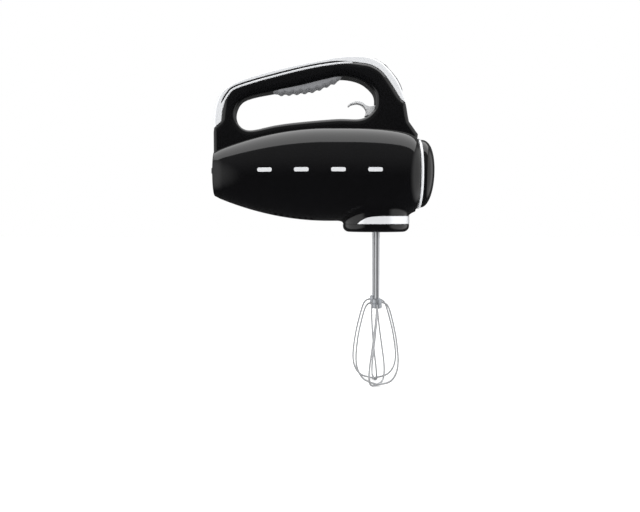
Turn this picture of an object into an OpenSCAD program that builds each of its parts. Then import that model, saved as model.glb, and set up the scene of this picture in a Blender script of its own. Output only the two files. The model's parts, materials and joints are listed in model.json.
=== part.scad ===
// Hand mixer with a bullet-shaped body, a loop handle and two wire whisks.
// +X points to the nose, +Z up, +Y to the left. The motor turns about the X axis.
// The origin is on the motor axis, in the plane of the rubber bar that the mixer rests its heel on.

/* [Body] */
// Length of the round body, from the flat rear face to the front rim
body_len = 204.5; // [202:0.5:206]
// Largest radius of the round body
body_r = 47.5; // [47:0.25:48]
// Radius of the flat rear face
rear_r = 23; // [22:0.5:24]
// Distance of the largest radius from the rear face
belly_s = 115; // [110:1:120]
// How much the radius falls towards the front, before the rim is rounded
front_drop = 8.5; // [8:0.5:9]
// Extra fall where the front rim is rounded
rim_round = 4.5; // [4:0.5:5]
// Wall of the casings
wall = 2.4; // [2.2:0.1:2.6]
// How far the heel bar stands out of the rear face
heel_proud = 1.5; // [1:0.25:2]
// Depth of the black nose dome
dome_depth = 13; // [11:0.5:14]

/* [Collar] */
// Radius of the round collar below the gearbox
collar_r = 33.25; // [33:0.25:34]
// Height at which the collar's cap starts
collar_z = -50.5; // [-51:0.5:-50]
// Depth of the collar's cap
cap_depth = 8; // [7.5:0.5:9]
// Height of the bright crescent at the nose
band_top = -42.5; // [-43:0.25:-42]

/* [Drive] */
// Forward position of both whisk spindles
spindle_x = 164.5; // [164:0.5:165]
// Distance between the two spindles
spindle_pitch = 36; // [36:1:36]
// Teeth of each worm wheel
wheel_teeth = 28; // [28:1:28]
// Radius of the motor shaft
shaft_r = 2.5; // [2.4:0.1:2.6]
// Outer radius of the spindle tubes
spindle_r = 4.5; // [4.4:0.1:4.6]
// Running clearance of every shaft in its bush
fit = 0.05; // [0.03:0.01:0.08]

/* [Whisks] */
// Radius of the whisk's shaft
whisk_shaft_r = 2.5; // [2.4:0.05:2.55]
// Radius of the whisk's wire
wire_r = 0.95; // [0.8:0.05:1.1]
// Largest radius of the wire cage, to the wire's middle
cage_r = 22; // [20:0.5:23]
// Height of the lowest wire's middle
cage_bottom = -211; // [-215:1:-208]
// Turn of the loops between the hub and the widest place
cage_twist = 17; // [10:1:20]

/* [Handle] */
// Half of the handle's greatest width
handle_half_w = 18; // [17:0.5:19]
// Half of the control panel's width
panel_half_w = 11; // [10:0.5:11]
// Travel of the buttons
button_travel = 1.2; // [1:0.1:1.5]

/* [Hidden] */
$fn = 48;

// Colours
BLACK = [0.03, 0.03, 0.035];
CHROME = [0.78, 0.79, 0.8];
STEEL = [0.62, 0.63, 0.65];
GREY = [0.35, 0.35, 0.36];
BRASS = [0.78, 0.62, 0.3];
COPPER = [0.72, 0.38, 0.2];
WHITE = [0.9, 0.9, 0.88];
GREEN = [0.05, 0.25, 0.14];

// Forward position of the body's front rim, and the thickness of the ring on it
front_x = heel_proud + body_len;
ring_t = 3.5;
ring_r = 35.5;
dome_r = 34;
spigot_r = 30;

// Collar
collar_inner_r = collar_r - wall;
cap_bottom = collar_z - cap_depth;
cap_screw_dx = 20;

// Worm drive: module 1, one thread
wheel_pitch_r = wheel_teeth / 2;
worm_pitch_r = spindle_pitch / 2 - wheel_pitch_r;
lead = PI;
worm_turns = 6;
worm_crest_r = worm_pitch_r + 1;
worm_root_r = worm_pitch_r - 1.25;
wheel_h = 7;
wheel_crest_r = wheel_pitch_r + 1;
wheel_root_r = wheel_pitch_r - 1.25;
wheel_hub_r = 6.5;
wheel_hub_top = 8;
washer_z = -25.6;
washer_t = 1;
bore_r = whisk_shaft_r + fit;
spindle_bottom = -56;
spindle_top = 16;
bushing_r = 7;

// Motor stations along the shaft
rear_bracket_x = 50;
front_bracket_x = 131;
bracket_t = 4;
core_x = [82, 110];
core_half_y = 29;
core_half_z = 25;
armature_r = 14.5;
motor_bolt = [25.5, 20];

// Eject lever: its hinge, the foot that presses the slider, and the travel
lever_pivot = [178, 66];
lever_half_w = 6.5;
foot_dx = lever_pivot[0] - spindle_x;
foot_z = 57.5;
lever_slot_z = 48.8;
LEVER_TOP = [
    [135.7, 67.6], [138.2, 70.3], [144.7, 72], [150.2, 70.9], [154.6, 67.9], [158, 66.9],
    [163, 68]
];
LEVER_UNDER = [
    [136.6, 66.9], [139.2, 68.9], [144.7, 69.9], [149.6, 68.6], [153, 65.2], [154.2, 61.4],
    [152.6, 57.2]
];
slider_top = foot_z - 0.3;
yoke_z = 22;
rod_r = 2.1;
rod_bottom = -12;

// Whisks
whisk_top = -18;
hub_top = -124.5;
hub_h = 10;
hub_r = 4.8;
wire_exit_z = -128.5;
widest_z = -185;
twist_start = [-5, -19];

// Top outline of the handle with its trim, from the rear foot over the top to the front
TRIM_OUTER = [
    [1.5, 44.5], [0.5, 50], [1.5, 61.5], [4.5, 71.5], [10.5, 81.5], [28.5, 92.5], [64.5, 102.5],
    [100.5, 110], [130.5, 115.6], [150, 116.5], [163, 113], [173.5, 106], [184.5, 93.5],
    [189.5, 83], [191.8, 74]
];
TRIM_INNER = [
    [9.5, 51.5], [10.5, 61], [12.5, 70], [17, 77.5], [24, 83.5], [46.5, 90.5], [82.5, 99.5],
    [106.5, 104.5], [130.5, 107.7], [150, 108], [160.5, 105.5], [170, 99], [179.5, 86.5],
    [187.5, 74]
];
HANDLE_FRONT = [[193.8, 66], [196.3, 52], [199, 46], [204.5, 41.5], [front_x, 36.5]];
LOOP = [
    [23.5, 58.5], [28.5, 70.5], [40.5, 76.5], [64.5, 81.5], [88.5, 86.5], [112.5, 92.5],
    [130.5, 95.5], [148.5, 91.5], [160.5, 81.5], [163, 71.5], [160.5, 61.5], [148.5, 53.8],
    [124.5, 53.5], [88.5, 50.5], [64.5, 47.5], [38, 42.5], [27, 48]
];
// Half widths of the handle along its length, as [x, y]
HANDLE_PLAN = [
    [0, 9.5], [20, 12], [50, 15.3], [90, 17.6], [130, handle_half_w], [165, 16.8],
    [190, 14.5], [front_x, 12.5]
];

// Upper edge of the bright crescent, from its rear tip forwards
BAND_LINE = [
    [144, collar_z], [147, collar_z + 2.9], [152, collar_z + 5.6], [158, band_top - 0.9],
    [166, band_top - 0.3], [210, band_top]
];

// Screws that hold the handle on the body: their places, and how deep they bite above its skin
SCREW_X = [34, 128, 192];
screw_bite = 4.3;
boss_rise = 9;
head_seat = 1.2;

// Grip pad under the handle
PAD_LOWER = [[57, 77.5], [76.5, 78], [100.5, 81], [118, 87.5], [133.5, 94.5]];
pad_ribs = 10;
pad_half_w = 13;

// Places of the controls along the trim's outline, as span numbers of TRIM_OUTER
PANEL_X = [160, 189.5];
panel_low_z = 76;
display_t = 10.1;
speed_t = 10.95;
power_t = 11.55;
turbo_t = 12.2;

// ---------- Curves ----------

function spline(a, b, c, d, t) =
    0.5 * (2 * b + (c - a) * t + (2 * a - 5 * b + 4 * c - d) * t * t
    + (3 * b - a - 3 * c + d) * t * t * t);

function pick(pts, i) = pts[max(0, min(i, len(pts) - 1))];

// Point at span number t of the smooth curve through pts
function at(pts, t) =
    let (i = min(floor(t), len(pts) - 2))
    spline(pick(pts, i - 1), pick(pts, i), pick(pts, i + 1), pick(pts, i + 2), t - i);

function curve(pts, steps) =
    [for (i = [0:(len(pts) - 1) * steps]) at(pts, i / steps)];

function ring_curve(pts, steps) =
    let (n = len(pts))
    [for (i = [0:n - 1], s = [0:steps - 1])
        spline(pts[(i + n - 1) % n], pts[i], pts[(i + 1) % n], pts[(i + 2) % n], s / steps)];

function reverse(v) = [for (i = [len(v) - 1:-1:0]) v[i]];

function unit(v) = v / norm(v);

// Outward direction of the trim's outline at span number t, as an angle from +Z towards +X
function tilt(t) =
    let (d = at(TRIM_OUTER, t + 0.05) - at(TRIM_OUTER, t - 0.05))
    atan2(-d[1], d[0]);

// Solid wire of radius r along a 3D path; ref holds one sideways direction for each point
module sweep(path, ref, r, sides) {
    n = len(path);
    rings = [for (i = [0:n - 1])
        let (d = unit(path[min(i + 1, n - 1)] - path[max(i - 1, 0)]),
             u = unit(cross(ref[i], d)),
             v = cross(d, u))
        for (k = [0:sides - 1])
            path[i] + r * (cos(360 * k / sides) * u + sin(360 * k / sides) * v)];
    skin = [for (i = [0:n - 2], k = [0:sides - 1])
        let (a = i * sides + k, b = i * sides + (k + 1) % sides)
        each [[a, a + sides, b + sides], [a, b + sides, b]]];
    ends = [[for (k = [0:sides - 1]) k], [for (k = [sides - 1:-1:0]) (n - 1) * sides + k]];
    polyhedron(points = rings, faces = concat(skin, ends), convexity = 6);
}

module spring(r, wire, length, turns) {
    steps = 10;
    n = turns * steps;
    path = [for (i = [0:n])
        [r * cos(360 * i / steps), r * sin(360 * i / steps), wire + (length - 2 * wire) * i / n]];
    sweep(path, [for (p = path) [0, 0, 1]], wire, 6);
}

// ---------- Placing ----------

module box(x, y, z) {
    translate([x[0], y[0], z[0]]) cube([x[1] - x[0], y[1] - y[0], z[1] - z[0]]);
}

module rod_x(x, r) {
    translate([x[0], 0, 0]) rotate([0, 90, 0]) cylinder(h = x[1] - x[0], r = r);
}

module rod_z(z, r) {
    translate([0, 0, z[0]]) cylinder(h = z[1] - z[0], r = r);
}

// Round about the X axis; the profile is [radius, distance forward]
module revolve_x() {
    rotate([0, 90, 0]) rotate_extrude() children();
}

// Side outline [x, z], symmetrical about the XZ plane
module side_prism(half_w) {
    rotate([90, 0, 0]) linear_extrude(height = 2 * half_w, center = true) children();
}

// Seen from above, from z0 up
module plan_prism(z) {
    translate([0, 0, z[0]]) linear_extrude(height = z[1] - z[0]) children();
}

module at_spindle(side) {
    translate([spindle_x, side * spindle_pitch / 2, 0]) children();
}

// On the trim's outline at span number t, with +Z out of the surface
module on_panel(t) {
    p = at(TRIM_OUTER, t);
    translate([p[0], 0, p[1]]) rotate([0, tilt(t), 0]) children();
}

// ---------- Body shape ----------

function body_radius(s) =
    let (u = max(0, 1 - s / belly_s), v = max(0, (s - belly_s) / (body_len - belly_s)))
    body_r - (body_r - rear_r) * u * u - front_drop * pow(v, 3.4) - rim_round * pow(v, 20);

BODY_STATIONS = concat(
    [for (i = [1:12]) belly_s * i / 12],
    [for (i = [1:12]) belly_s + (body_len - belly_s) * sin(90 * i / 12)]
);

// The round body, drawn in by inset all over except at its open front
module body_solid(inset) {
    reach = inset > 0 ? 1 : 0;
    last_r = body_radius(body_len) - inset;
    translate([heel_proud, 0, 0]) revolve_x() polygon(concat(
        [[0, inset], [body_radius(max(inset, 0)) - inset, inset]],
        [for (s = BODY_STATIONS) [body_radius(s) - inset, s]],
        [[last_r, body_len + reach], [0, body_len + reach]]
    ));
}

module collar_solid(z, r) {
    translate([spindle_x, 0, 0]) rod_z(z, r);
}

// Everything below the curved upper edge of the crescent
module below_crescent() {
    side_prism(50) polygon(concat(curve(BAND_LINE, 3), [[210, -80], [144, -80]]));
}

module lower_housing() {
    color(BLACK) difference() {
        union() {
            difference() {
                union() {
                    body_solid(0);
                    difference() {
                        collar_solid([collar_z, -20], collar_r);
                        below_crescent();
                    }
                }
                body_solid(wall);
                collar_solid([collar_z - 1, -20], collar_inner_r);
            }
            motor_rib(rear_bracket_x);
            motor_rib(front_bracket_x);
            for (x = [22, 40]) board_rib(x);
        }
        translate([0, 0, -12]) rod_x([0, wall + 2 * heel_proud], 6);
        box([heel_proud - 1, heel_proud + 1], [-15, 15], [-1, 5]);
        box([8, 18], [-5, 5], [15, 35]);
        box([140, 176], [-8, 8], [30, 50]);
        for (x = SCREW_X) translate([x, 0, 0]) rod_z([20, 60], 1.6);
        for (i = [0:6], y = [[-15, -6], [6, 15]])
            box([62 + 6 * i, 64.4 + 6 * i], y, [-50, -30]);
    }
}

// Ring inside the body that carries one motor bracket
module motor_rib(x) {
    difference() {
        intersection() {
            body_solid(wall / 2);
            rod_x([x + 0.5, x + bracket_t - 0.5], 60);
        }
        rod_x([x, x + bracket_t], bracket_r(x));
    }
}

function bracket_r(x) = x < 100 ? 35.5 : 38;

module board_rib(x) {
    intersection() {
        body_solid(wall / 2);
        box([x, x + 2], [-14, 14], [-40, -20]);
    }
}

// ---------- Handle shape ----------

module whole_outline() {
    difference() {
        polygon(concat(
            [[front_x, 10], [heel_proud, 10]],
            curve(TRIM_OUTER, 2),
            curve(HANDLE_FRONT, 2)
        ));
        polygon(ring_curve(LOOP, 2));
    }
}

module handle_outline() {
    difference() {
        polygon(concat(
            [[front_x, 10], [heel_proud, 10], TRIM_OUTER[0]],
            curve(TRIM_INNER, 2),
            [TRIM_OUTER[len(TRIM_OUTER) - 1]],
            curve(HANDLE_FRONT, 2)
        ));
        polygon(ring_curve(LOOP, 2));
    }
}

module plan_outline() {
    side = curve(HANDLE_PLAN, 2);
    polygon(concat(side, [for (p = reverse(side)) [p[0], -p[1]]]));
}

module handle_cavity() {
    intersection() {
        side_prism(30) offset(delta = -wall) whole_outline();
        plan_prism([0, 130]) offset(delta = -wall) plan_outline();
    }
}

module handle_housing() {
    color(BLACK) difference() {
        union() {
            difference() {
                intersection() {
                    side_prism(30) handle_outline();
                    plan_prism([0, 130]) plan_outline();
                }
                handle_cavity();
                box([148, 172], [-7.3, 7.3], [lever_slot_z, 70]);
            }
            intersection() {
                for (x = SCREW_X) screw_boss(x);
                side_prism(30) handle_outline();
                plan_prism([0, 130]) plan_outline();
            }
            for (s = [-1, 1]) translate([lever_pivot[0], 0, lever_pivot[1]])
                rotate([-90 * s, 0, 0]) rod_z([8, 14], 3.5);
        }
        body_solid(0);
        for (x = SCREW_X) translate([x, 0, 0])
            rod_z([20, body_radius(x - heel_proud) + screw_bite], 1.5);
        translate([lever_pivot[0], 0, lever_pivot[1]]) rotate([90, 0, 0])
            cylinder(h = 28, r = 1.5, center = true);
    }
}

// Post for one screw, with a web that ties it to both sides of the handle
module screw_boss(x) {
    top = body_radius(x - heel_proud) + boss_rise;
    translate([x, 0, 0]) rod_z([20, top], 4);
    box([x - 1, x + 1], [-20, 20], [20, top]);
}

module trim_outline() {
    polygon(concat(curve(TRIM_OUTER, 2), reverse(curve(TRIM_INNER, 2))));
}

module top_trim() {
    color(CHROME) difference() {
        intersection() {
            side_prism(30) trim_outline();
            plan_prism([0, 130]) plan_outline();
        }
        handle_cavity();
        box(PANEL_X, [-panel_half_w, panel_half_w], [panel_low_z, 130]);
    }
}

module grip_pad() {
    lower = [for (i = [0:pad_ribs * 4])
        let (p = at(PAD_LOWER, i * (len(PAD_LOWER) - 1) / (pad_ribs * 4)))
        p + [0, 0.6 * cos(90 * i)]];
    color(GREY) side_prism(pad_half_w) intersection() {
        polygon(ring_curve(LOOP, 2));
        polygon(concat(lower, [[134.5, 110], [54, 110]]));
    }
}

// ---------- Nose, collar and small outside pieces ----------

module nose_ring() {
    color(CHROME) difference() {
        rod_x([front_x, front_x + ring_t], ring_r);
        rod_x([front_x - 1, front_x + ring_t + 1], spigot_r);
    }
}

module nose_cap() {
    outer = [for (i = [0:8]) [dome_r * cos(90 * i / 8), dome_depth * sin(90 * i / 8)]];
    inner = [for (i = [8:-1:0])
        [(dome_r - wall) * cos(90 * i / 8), (dome_depth - wall) * sin(90 * i / 8)]];
    color(BLACK) union() {
        translate([front_x + ring_t, 0, 0]) revolve_x() polygon(concat(outer, inner));
        difference() {
            union() {
                rod_x([front_x - 6, front_x + ring_t + 1], spigot_r);
                rod_x([front_x + ring_t, front_x + ring_t + 2], dome_r - 1);
            }
            rod_x([front_x - 7, front_x + ring_t + 3], spigot_r - 2);
        }
    }
}

module collar_band() {
    color(CHROME) difference() {
        intersection() {
            collar_solid([collar_z, -38], collar_r);
            below_crescent();
        }
        collar_solid([collar_z - 1, -37], collar_inner_r);
    }
}

module collar_cap() {
    round_r = 6;
    rim = [for (i = [0:4]) [collar_r - round_r + round_r * cos(90 * i / 4),
                            cap_bottom + round_r - round_r * sin(90 * i / 4)]];
    color(BLACK) translate([spindle_x, 0, 0]) difference() {
        union() {
            difference() {
                rotate_extrude() polygon(concat([[collar_r, collar_z]], rim,
                    [[0, cap_bottom], [0, collar_z]]));
                rod_z([cap_bottom + wall, collar_z + 1], collar_r - round_r);
            }
            for (s = [-1, 1]) translate([s * cap_screw_dx, 0, 0])
                rod_z([cap_bottom + 1, collar_z], 4.5);
        }
        for (s = [-1, 1]) {
            translate([0, s * spindle_pitch / 2, 0]) rod_z([cap_bottom - 1, collar_z + 1], 6.5);
            translate([s * cap_screw_dx, 0, 0]) rod_z([cap_bottom - 1, collar_z + 1], 1.6);
            translate([s * cap_screw_dx, 0, 0]) rod_z([cap_bottom - 1, cap_bottom + 3], 3.2);
        }
    }
}

module heel_bar() {
    color(GREY) box([0, heel_proud + 1], [-15, 15], [-1, 5]);
}

module cord_gland() {
    color(BLACK) translate([0, 0, -12]) difference() {
        union() {
            rod_x([heel_proud, 14], 6);
            rod_x([heel_proud + wall, 6], 8.5);
        }
        rod_x([0, 15], 3.5);
    }
}

// Four plain bright bars on one side of the body
module badge_bars(side) {
    color(CHROME) intersection() {
        difference() {
            body_solid(-0.6);
            body_solid(0);
        }
        for (i = [0:3]) box([47 + 35.5 * i, 61 + 35.5 * i], side > 0 ? [0, 60] : [-60, 0], [0, 4]);
    }
}

// ---------- Controls ----------

module control_panel() {
    color(BLACK) difference() {
        side_prism(panel_half_w) intersection() {
            difference() {
                whole_outline();
                offset(delta = -wall) whole_outline();
            }
            trim_outline();
            translate([PANEL_X[0], panel_low_z]) square([PANEL_X[1] - PANEL_X[0], 60]);
        }
        on_panel(display_t) box([-3.5, 3.5], [-7, 7], [-1.6, 5]);
        for (y = [-5, 5]) on_panel(speed_t) translate([0, y, -8]) cylinder(h = 16, r = 3.7);
        on_panel(power_t) translate([0, 0, -8]) cylinder(h = 16, r = 4.2);
        on_panel(turbo_t) translate([0, 0, -8]) cylinder(h = 16, r = 4.2);
    }
}

module display_lens() {
    color([0.1, 0.16, 0.2]) on_panel(display_t) box([-3.5, 3.5], [-7, 7], [-1.6, -0.2]);
}

// Round button with a flange that keeps it behind the panel
module button(t, y, r) {
    on_panel(t) translate([0, y, 0]) {
        rod_z([-4.5, 0.9], r);
        rod_z([-4.5, -3.3], r + 0.5);
    }
}

module power_button() {
    color(CHROME) button(power_t, 0, 4);
}

module speed_up_button() {
    color(CHROME) button(speed_t, 5, 3.5);
}

module speed_down_button() {
    color(CHROME) button(speed_t, -5, 3.5);
}

module turbo_button() {
    color(GREY) button(turbo_t, 0, 4);
}

module control_board() {
    color(GREEN) translate([165, 0, 98]) rotate([0, 48, 0]) box([0, 24], [-10, 10], [-1.6, 0]);
}

// ---------- Eject mechanism ----------

module eject_lever() {
    under = curve(LEVER_UNDER, 3);
    n = len(under);
    color(CHROME) difference() {
        side_prism(lever_half_w) polygon(concat(
            curve(LEVER_TOP, 3),
            [[lever_pivot[0], lever_pivot[1] + 3], [lever_pivot[0] + 3, lever_pivot[1] + 1.5]],
            [[lever_pivot[0] + 3, lever_pivot[1] - 2], [lever_pivot[0] - 10, lever_pivot[1] - 2.5]],
            [[spindle_x + 2, foot_z + 1], [spindle_x, foot_z], [spindle_x - 2.5, foot_z + 1.6]],
            [for (i = [n - 1:-1:0]) under[i]]
        ));
        translate([lever_pivot[0], 0, lever_pivot[1]]) rotate([90, 0, 0])
            cylinder(h = 30, r = 1.5 + fit, center = true);
    }
}

module lever_pin() {
    color(STEEL) translate([lever_pivot[0], 0, lever_pivot[1]]) rotate([90, 0, 0])
        cylinder(h = 27, r = 1.5, center = true);
}

module eject_spring() {
    color(STEEL) translate([spindle_x, 0, 14]) spring(3.5, 0.4, yoke_z - 14, 4);
}

module eject_slider() {
    color(WHITE) union() {
        translate([spindle_x, 0, 0]) rod_z([yoke_z, slider_top], 3);
        box([spindle_x - 3.5, spindle_x + 3.5], [-21, 21], [yoke_z, yoke_z + 4]);
        for (s = [-1, 1]) at_spindle(s) rod_z([rod_bottom, yoke_z + 1], rod_r);
    }
}

// ---------- Motor ----------

module stator_core() {
    color(STEEL) difference() {
        box(core_x, [-core_half_y, core_half_y], [-core_half_z, core_half_z]);
        rod_x([core_x[0] - 1, core_x[1] + 1], armature_r + 0.6);
        for (s = [-1, 1]) box([core_x[0] - 1, core_x[1] + 1],
            s > 0 ? [14.5, 22.5] : [-22.5, -14.5], [-19, 19]);
        motor_bolts([core_x[0] - 1, core_x[1] + 1], 1.6);
    }
}

module motor_bolts(x, r) {
    for (s = [-1, 1]) translate([0, s * motor_bolt[0], s * motor_bolt[1]]) rod_x(x, r);
}

module field_coils() {
    gap = 0.4;
    color(COPPER) for (s = [0, 180]) rotate([s, 0, 0]) difference() {
        box([core_x[0] - 7, core_x[1] + 7], [-22.3, 22.3], [13.2, 18.8]);
        box([core_x[0] - gap, core_x[1] + gap], [-14.6, 14.6], [12, 20]);
    }
}

module armature_core() {
    color(STEEL) difference() {
        rod_x(core_x, armature_r);
        rod_x([core_x[0] - 1, core_x[1] + 1], shaft_r);
        for (i = [0:11]) rotate([30 * i, 0, 0]) {
            translate([0, 0, 10.2]) rod_x([core_x[0] - 1, core_x[1] + 1], 1.7);
            box([core_x[0] - 1, core_x[1] + 1], [-0.6, 0.6], [10.2, 16]);
        }
    }
}

module armature_windings() {
    color(COPPER) difference() {
        union() {
            rod_x([core_x[0] - 6, core_x[0]], 12.4);
            rod_x([core_x[1], core_x[1] + 6], 12.4);
            for (i = [0:11]) rotate([30 * i, 0, 0]) translate([0, 0, 10.2])
                rod_x([core_x[0] - 1, core_x[1] + 1], 1.7);
        }
        rod_x([core_x[0] - 7, core_x[1] + 7], shaft_r);
    }
}

module commutator() {
    color(COPPER) difference() {
        rod_x([60, 72], 9.5);
        rod_x([59, 73], shaft_r);
        for (i = [0:11]) rotate([30 * i, 0, 0]) box([59, 73], [-0.25, 0.25], [8.5, 10]);
    }
}

module motor_shaft() {
    half = worm_turns * lead / 2;
    color(STEEL) union() {
        rod_x([46, spindle_x - half], shaft_r);
        rod_x([spindle_x + half, 186], shaft_r);
    }
}

// Radius of the worm at an angle from its crest, seen along the shaft
function worm_radius(a) =
    abs(a) <= 34 ? worm_crest_r : abs(a) >= 126 ? worm_root_r : (worm_crest_r + worm_root_r) / 2;

module drive_worm() {
    steps = [-153, -126, -80, -34, 0, 34, 80, 126, 153, 180];
    m = len(steps);
    n = 12 * worm_turns;
    length = worm_turns * lead;
    points = [for (i = [0:n], a = steps)
        [spindle_x + length * (i / n - 0.5),
         worm_radius(a) * cos(a + 30 * i), worm_radius(a) * sin(a + 30 * i)]];
    skin = [for (i = [0:n - 1], k = [0:m - 1])
        let (a = i * m + k, b = i * m + (k + 1) % m)
        each [[a, b, b + m], [a, b + m, a + m]]];
    ends = [[for (k = [m - 1:-1:0]) k], [for (k = [0:m - 1]) n * m + k]];
    color(STEEL) polyhedron(points = points, faces = concat(skin, ends), convexity = 8);
}

module cooling_fan() {
    blades = 11;
    color(BLACK) difference() {
        union() {
            rod_x([119, 128], 7);
            rod_x([119, 120.5], 29.5);
            for (i = [0:blades - 1]) rotate([360 * i / blades, 0, 0])
                box([120, 128], [-0.7, 0.7], [6, 28.5]);
        }
        rod_x([118, 129], shaft_r);
    }
}

module plain_bearing(x, r) {
    difference() {
        rod_x(x, r);
        rod_x([x[0] - 1, x[1] + 1], shaft_r + fit);
    }
}

module front_bearing() {
    color(BRASS) plain_bearing([130, 136], 6);
}

module rear_bearing() {
    color(BRASS) plain_bearing([49, 55], 6);
}

module bracket_plate(x) {
    r = bracket_r(x);
    difference() {
        rod_x([x, x + bracket_t], r);
        rod_x([x - 1, x + bracket_t + 1], 6);
        for (a = [0:60:300]) rotate([a, 0, 0]) translate([0, 0, 21])
            rod_x([x - 1, x + bracket_t + 1], 7);
        motor_bolts([x - 1, x + bracket_t + 1], 1.6);
    }
}

module rear_bracket() {
    color(WHITE) union() {
        bracket_plate(rear_bracket_x);
        for (s = [-1, 1]) box([rear_bracket_x + bracket_t, 61],
            s > 0 ? [23, 28] : [-28, -23], [-5, 5]);
    }
}

module front_bracket() {
    color(WHITE) bracket_plate(front_bracket_x);
}

module on_both_sides() {
    for (s = [0, 180]) rotate([s, 0, 0]) children();
}

module brush_holders() {
    color(BRASS) on_both_sides() difference() {
        box([61, 71], [11.2, 28], [-5, 5]);
        box([62.5, 69.5], [10, 27], [-3.5, 3.5]);
    }
}

module carbon_brushes() {
    color([0.12, 0.12, 0.12]) on_both_sides() box([62.6, 69.4], [9.6, 20], [-3.4, 3.4]);
}

module brush_springs() {
    color(STEEL) on_both_sides() translate([66, 20, 0]) rotate([-90, 0, 0])
        spring(2.4, 0.35, 7, 4);
}

// ---------- Gearbox ----------

POSTS = [for (x = [145, 184], y = [-18, 18]) [x, y]];

module gearbox_base() {
    color(GREY) difference() {
        union() {
            box([141, 187.8], [-22, 22], [-34, -30]);
            for (p = POSTS) translate([p[0], p[1], 0]) rod_z([-34, 10], 3.5);
            for (s = [-1, 1]) {
                at_spindle(s) rod_z([-47, -26], 9);
                translate([spindle_x + s * cap_screw_dx, 0, 0]) rod_z([collar_z, -30], 4);
            }
            box([182, 186], [-6, 6], [-32, 7]);
        }
        for (s = [-1, 1]) {
            at_spindle(s) rod_z([-48, -25], bushing_r);
            translate([spindle_x + s * cap_screw_dx, 0, 0]) rod_z([collar_z - 1, -40], 1.5);
        }
        for (p = POSTS) translate([p[0], p[1], 0]) rod_z([0, 11], 1.5);
        rod_x([181, 187], shaft_r + fit);
    }
}

module gearbox_cover() {
    color(GREY) difference() {
        union() {
            box([141, 187.8], [-22, 22], [10, 14]);
            for (s = [-1, 1]) at_spindle(s) rod_z([8.6, spindle_top], 9);
        }
        for (s = [-1, 1]) at_spindle(s) rod_z([8, spindle_top + 1], bushing_r);
        for (p = POSTS) translate([p[0], p[1], 0]) rod_z([9, 15], 1.6);
    }
}

module spindle_bushings() {
    color(BRASS) for (s = [-1, 1]) at_spindle(s) for (z = [[-47, -26], [8.6, spindle_top]])
        difference() {
            rod_z(z, bushing_r);
            rod_z([z[0] - 1, z[1] + 1], spindle_r + fit);
        }
}

// Outline of the wheel: each tooth has two crest and two root corners, narrowed for backlash
module wheel_outline(phase) {
    pitch = 360 / wheel_teeth;
    crest = 0.36 / wheel_crest_r * 180 / PI;
    root = 1.1 / wheel_root_r * 180 / PI;
    polygon([for (i = [0:wheel_teeth - 1], c = [[wheel_root_r, -root], [wheel_crest_r, -crest],
            [wheel_crest_r, crest], [wheel_root_r, root]])
        c[0] * [cos((i + phase) * pitch + c[1]), sin((i + phase) * pitch + c[1])]]);
}

module worm_wheel(side) {
    turn = 180 / PI * wheel_h / (8 * wheel_pitch_r);
    color(WHITE) at_spindle(side) difference() {
        union() {
            rotate([0, 0, -turn / 2]) translate([0, 0, -wheel_h / 2])
                linear_extrude(height = wheel_h, twist = -turn, slices = 2)
                wheel_outline(side > 0 ? 0.5 : 0);
            rod_z([washer_z + washer_t, wheel_hub_top], wheel_hub_r);
        }
        rod_z([-30, wheel_hub_top + 1], spindle_r);
    }
}

module spindle(side) {
    color(STEEL) at_spindle(side) difference() {
        rod_z([spindle_bottom, spindle_top], spindle_r);
        rod_z([spindle_bottom - 1, spindle_top + 1], bore_r);
    }
}

module thrust_washer(side) {
    color(STEEL) at_spindle(side) difference() {
        rod_z([washer_z, washer_z + washer_t], 8);
        rod_z([washer_z - 1, washer_z + washer_t + 1], spindle_r);
    }
}

// ---------- Whisks ----------

module whisk_shaft(side) {
    color(STEEL) at_spindle(side) union() {
        rod_z([hub_top - hub_h + 1, whisk_top], whisk_shaft_r);
        rod_z([-58.4, -56.4], 4);
    }
}

module whisk_hub(side) {
    color(STEEL) at_spindle(side) difference() {
        rod_z([hub_top - hub_h, hub_top], hub_r);
        rod_z([hub_top - hub_h + 1, hub_top + 1], whisk_shaft_r);
    }
}

// Direction of a loop at height z, seen from above, for one whisk
function loop_angle(side, k, z) =
    let (u = (wire_exit_z - z) / (wire_exit_z - widest_z))
    (side < 0 ? twist_start[0] - cage_twist * u : twist_start[1] + cage_twist * u) + 90 * k;

// One side of a wire loop as [radius, z], from the hub to the bottom
function loop_side(k) = [
    [hub_r - 1.4, wire_exit_z], [8.5, wire_exit_z - 1.2], [12, wire_exit_z - 6],
    [16, wire_exit_z - 20], [0.89 * cage_r, widest_z + 20], [cage_r, widest_z],
    [0.93 * cage_r, widest_z + 0.5 * (cage_bottom - widest_z)],
    [0.62 * cage_r, widest_z + 0.85 * (cage_bottom - widest_z)],
    [0, cage_bottom + 2.4 * wire_r * k]
];

module wire_loop(side, k) {
    down = curve(loop_side(k), 3);
    full = concat(down, [for (i = [len(down) - 2:-1:0]) [-down[i][0], down[i][1]]]);
    path = [for (p = full)
        let (a = loop_angle(side, k, p[1]))
        [p[0] * cos(a), p[0] * sin(a), p[1]]];
    across = [for (p = full)
        let (a = loop_angle(side, k, p[1]))
        [-sin(a), cos(a), 0]];
    sweep(path, across, wire_r, 8);
}

module whisk_wires(side) {
    color(CHROME) at_spindle(side) for (k = [0, 1]) translate([0, 0, -2.4 * wire_r * k])
        wire_loop(side, k);
}

// ---------- Electrical pieces ----------

module power_board() {
    color(GREEN) box([18, 46], [-14, 14], [-20, -18.4]);
}

module suppressor_capacitor() {
    color([0.75, 0.6, 0.15]) box([24, 42], [-6.5, 6.5], [-18.4, -7]);
}

// Round lead that bends smoothly through a list of places, in a plane whose normal is across
module lead(points, across) {
    path = curve(points, 3);
    sweep(path, [for (p = path) across], 1, 8);
}

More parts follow.
